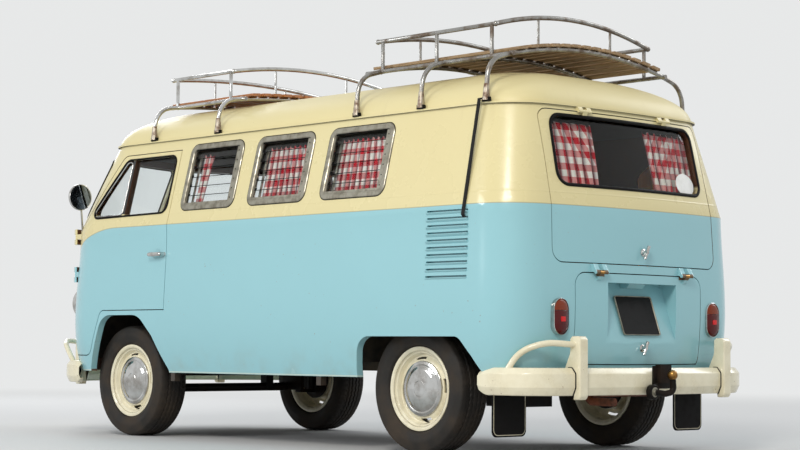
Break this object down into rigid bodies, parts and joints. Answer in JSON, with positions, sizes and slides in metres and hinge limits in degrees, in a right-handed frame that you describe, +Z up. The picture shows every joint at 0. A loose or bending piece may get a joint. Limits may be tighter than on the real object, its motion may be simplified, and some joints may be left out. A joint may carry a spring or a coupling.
{
  "type": "camper van",
  "caption": "Split-screen camper van with opening doors, tailgate and engine lid, jalousie windows, roof racks and a tow ball; wheels roll and steer.",
  "frame": {"origin": "on the ground below the middle of the overall length", "axes": "+Z up, -Y towards the nose, +X towards the van's left side"},
  "size_m": [1.964, 4.39, 2.1997],
  "materials": {
    "body_paint": "gloss aqua below the belt and cream above",
    "cream_paint": "gloss cream with rust specks",
    "floor_paint": "dull underbody paint",
    "glass": "clear glass",
    "aluminium": "satin aluminium",
    "chrome": "worn chrome",
    "tyre_rubber": "dusty tyre rubber",
    "black_steel": "black painted steel",
    "engine_metal": "dull engine metal",
    "rusty_steel": "rusty steel",
    "grey_steel": "weathered galvanised tube",
    "varnished_wood": "varnished slats",
    "weathered_wood": "weathered slats",
    "seat_vinyl": "plain vinyl",
    "curtain_cloth": "red and white check",
    "black_rubber": "black rubber",
    "strap_webbing": "black webbing",
    "lamp_plastic": "amber over red lens in a bright bezel",
    "lamp_glass": "clear lens in a bright rim",
    "amber_plastic": "amber lens",
    "black_plastic": "black plastic"
  },
  "bodies": {
    "body": {"floor_pan": "floor_paint", "front_wheel_tubs": "floor_paint", "rear_wheel_tubs": "floor_paint", "rear_deck": "floor_paint", "nose_panel": "body_paint", "side_panel_left": "body_paint", "side_panel_right": "body_paint", "rear_panel": "body_paint", "roof_panel": "cream_paint", "windscreen_panes": "glass", "side_window_frames": "aluminium", "side_window_louvres": "glass", "side_curtains": "curtain_cloth", "tail_lamps": "lamp_plastic", "headlamps": "lamp_glass", "front_indicators": "amber_plastic", "front_bumper": "cream_paint", "rear_bumper": "cream_paint", "tow_hitch": "black_steel", "mud_flaps": "black_rubber", "front_rack": "chrome", "front_rack_slats": "varnished_wood", "rear_rack": "grey_steel", "rear_rack_slats": "weathered_wood", "tie_strap": "strap_webbing", "front_axle": "black_steel", "rear_axle": "black_steel", "engine_block": "engine_metal", "exhaust": "rusty_steel", "dashboard": "body_paint", "front_seats": "seat_vinyl", "rear_bench": "varnished_wood", "rear_cupboard": "varnished_wood"},
    "cab_door_left": {"cab_door_left": "body_paint", "cab_glass_left": "glass", "mirror_left": "chrome"},
    "cab_door_right": {"cab_door_right": "body_paint", "cab_glass_right": "glass", "mirror_right": "chrome"},
    "cargo_door_front": {"cargo_door_front": "body_paint", "cargo_window_front": "aluminium"},
    "cargo_door_rear": {"cargo_door_rear": "body_paint", "cargo_window_rear": "aluminium"},
    "tailgate": {"tailgate": "body_paint", "tailgate_glass": "glass", "tailgate_curtains": "curtain_cloth"},
    "engine_lid": {"engine_lid": "body_paint"},
    "knuckle_left": {"knuckle_left": "black_steel"},
    "knuckle_right": {"knuckle_right": "black_steel"},
    "steering_wheel": {"steering_wheel": "black_plastic"},
    "road_wheel_front_left": {"tyre_front_left": "tyre_rubber", "wheel_front_left": "cream_paint"},
    "road_wheel_front_right": {"tyre_front_right": "tyre_rubber", "wheel_front_right": "cream_paint"},
    "road_wheel_rear_left": {"tyre_rear_left": "tyre_rubber", "wheel_rear_left": "cream_paint"},
    "road_wheel_rear_right": {"tyre_rear_right": "tyre_rubber", "wheel_rear_right": "cream_paint"}
  },
  "joints": [
    {"name": "cab_door_left_hinge", "type": "hinge", "parent": "body", "child": "cab_door_left", "pos_m": [0.816, -1.706, 1], "axis": [0, 0, -1], "range_deg": [0, 65]},
    {"name": "cab_door_right_hinge", "type": "hinge", "parent": "body", "child": "cab_door_right", "pos_m": [-0.816, -1.706, 1], "axis": [0, 0, 1], "range_deg": [0, 65]},
    {"name": "cargo_door_front_hinge", "type": "hinge", "parent": "body", "child": "cargo_door_front", "pos_m": [-0.88, -0.7, 0.9], "axis": [0, 0, 1], "range_deg": [0, 100]},
    {"name": "cargo_door_rear_hinge", "type": "hinge", "parent": "body", "child": "cargo_door_rear", "pos_m": [-0.88, 0.447, 0.9], "axis": [0, 0, -1], "range_deg": [0, 100]},
    {"name": "tailgate_hinge", "type": "hinge", "parent": "body", "child": "tailgate", "pos_m": [0, 1.872, 1.669], "axis": [1, 0, 0], "range_deg": [0, 85]},
    {"name": "engine_lid_hinge", "type": "hinge", "parent": "body", "child": "engine_lid", "pos_m": [0, 2.003, 0.884], "axis": [1, 0, 0], "range_deg": [0, 75]},
    {"name": "kingpin_left", "type": "hinge", "parent": "body", "child": "knuckle_left", "pos_m": [0.61, -1.2, 0.318], "axis": [0, 0, 1], "range_deg": [-28, 28]},
    {"name": "kingpin_right", "type": "hinge", "parent": "body", "child": "knuckle_right", "pos_m": [-0.61, -1.2, 0.318], "axis": [0, 0, 1], "range_deg": [-28, 28]},
    {"name": "steering_column", "type": "hinge", "parent": "body", "child": "steering_wheel", "pos_m": [0.35, -1.52, 1.04], "axis": [0, 0.3904, 0.9207], "range_deg": [-412, 412]},
    {"name": "roll_front_left", "type": "hinge", "parent": "knuckle_left", "child": "road_wheel_front_left", "pos_m": [0.687, -1.2, 0.318], "axis": [1, 0, 0], "continuous": true},
    {"name": "roll_front_right", "type": "hinge", "parent": "knuckle_right", "child": "road_wheel_front_right", "pos_m": [-0.687, -1.2, 0.318], "axis": [1, 0, 0], "continuous": true},
    {"name": "roll_rear_left", "type": "hinge", "parent": "body", "child": "road_wheel_rear_left", "pos_m": [0.68, 1.2, 0.318], "axis": [1, 0, 0], "continuous": true},
    {"name": "roll_rear_right", "type": "hinge", "parent": "body", "child": "road_wheel_rear_right", "pos_m": [-0.68, 1.2, 0.318], "axis": [1, 0, 0], "continuous": true}
  ],
  "couplings": [
    {"joint": "kingpin_right", "follows": "kingpin_left", "ratio": 1},
    {"joint": "steering_column", "follows": "kingpin_left", "ratio": 14.7}
  ]
}
